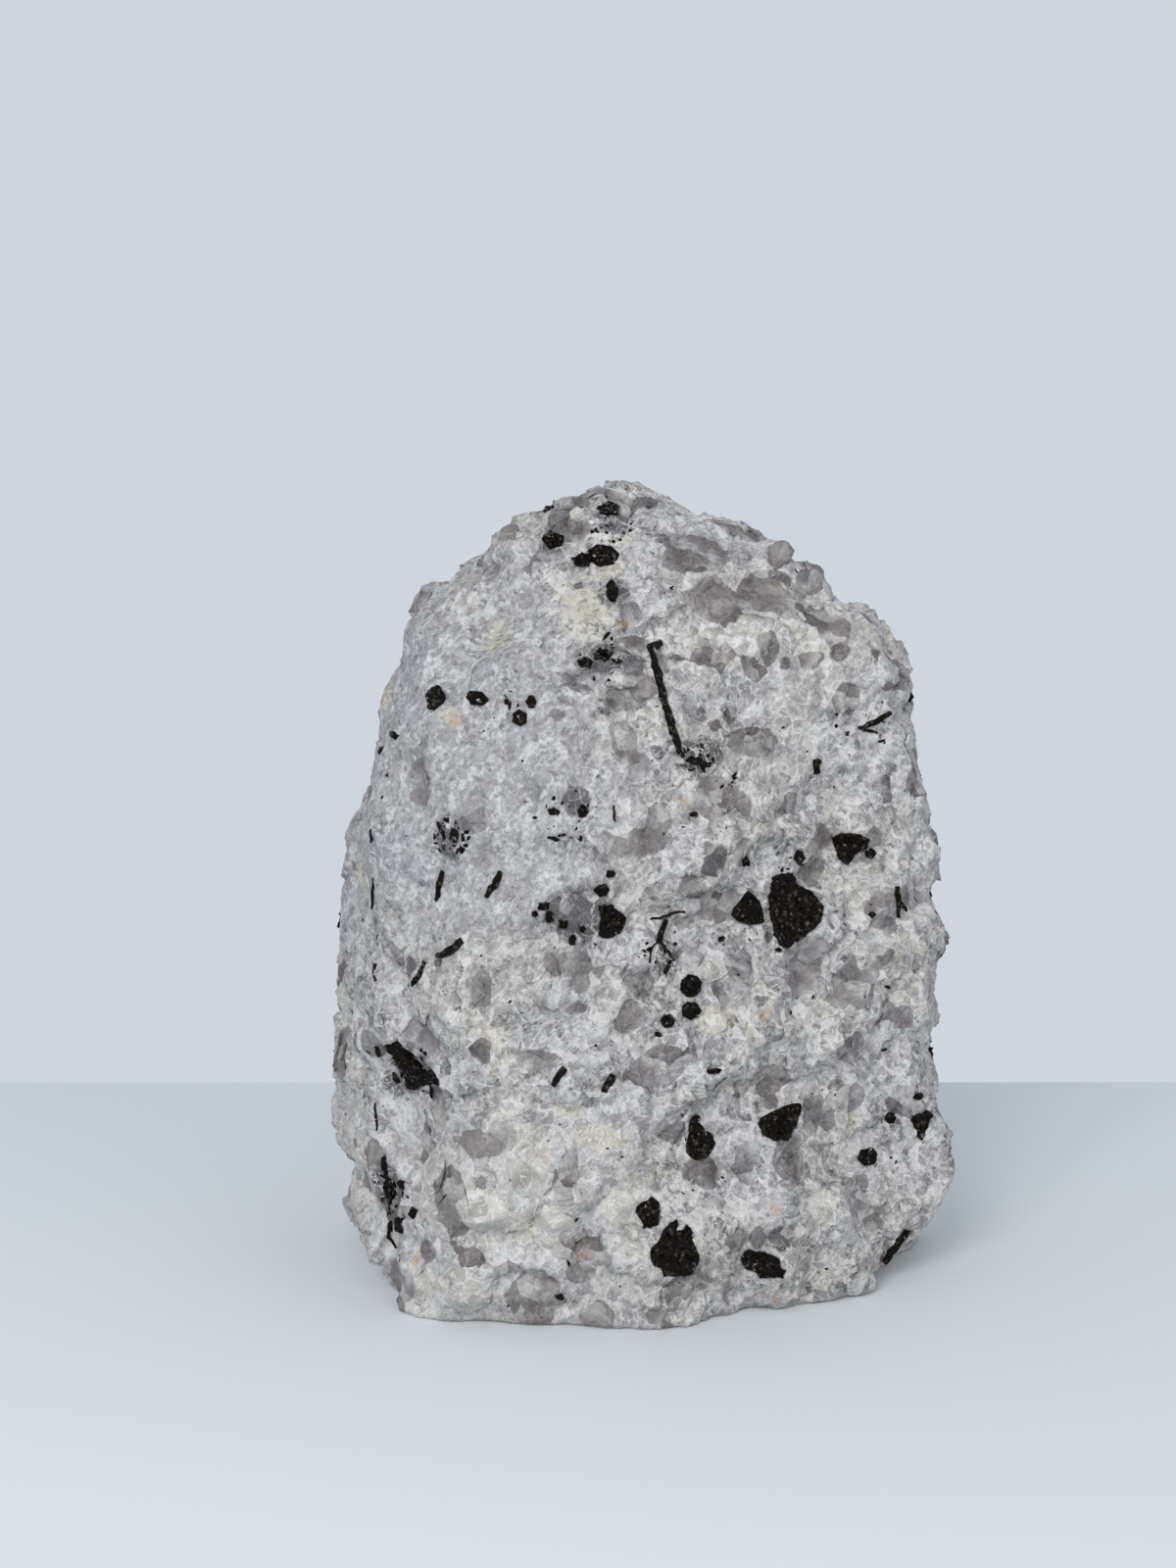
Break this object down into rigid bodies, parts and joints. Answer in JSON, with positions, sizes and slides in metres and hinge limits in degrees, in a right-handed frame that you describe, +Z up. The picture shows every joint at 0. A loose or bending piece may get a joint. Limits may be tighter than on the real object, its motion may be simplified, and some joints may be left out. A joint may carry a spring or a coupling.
{
  "type": "tourmalinated quartz",
  "caption": "Rough upright block of pale quartz and feldspar with black tourmaline prisms grown through it, flat underneath so that it stands.",
  "frame": {"origin": "middle of the block's box on the flat base that it stands on", "axes": "+X to the right and +Y to the back, seen by someone who faces the broken front; +Z up, along the longest side"},
  "size_m": [0.0716, 0.053, 0.0897],
  "materials": {
    "stone": "rough broken quartz and feldspar"
  },
  "bodies": {
    "root": {"stone": "stone"}
  },
  "joints": []
}
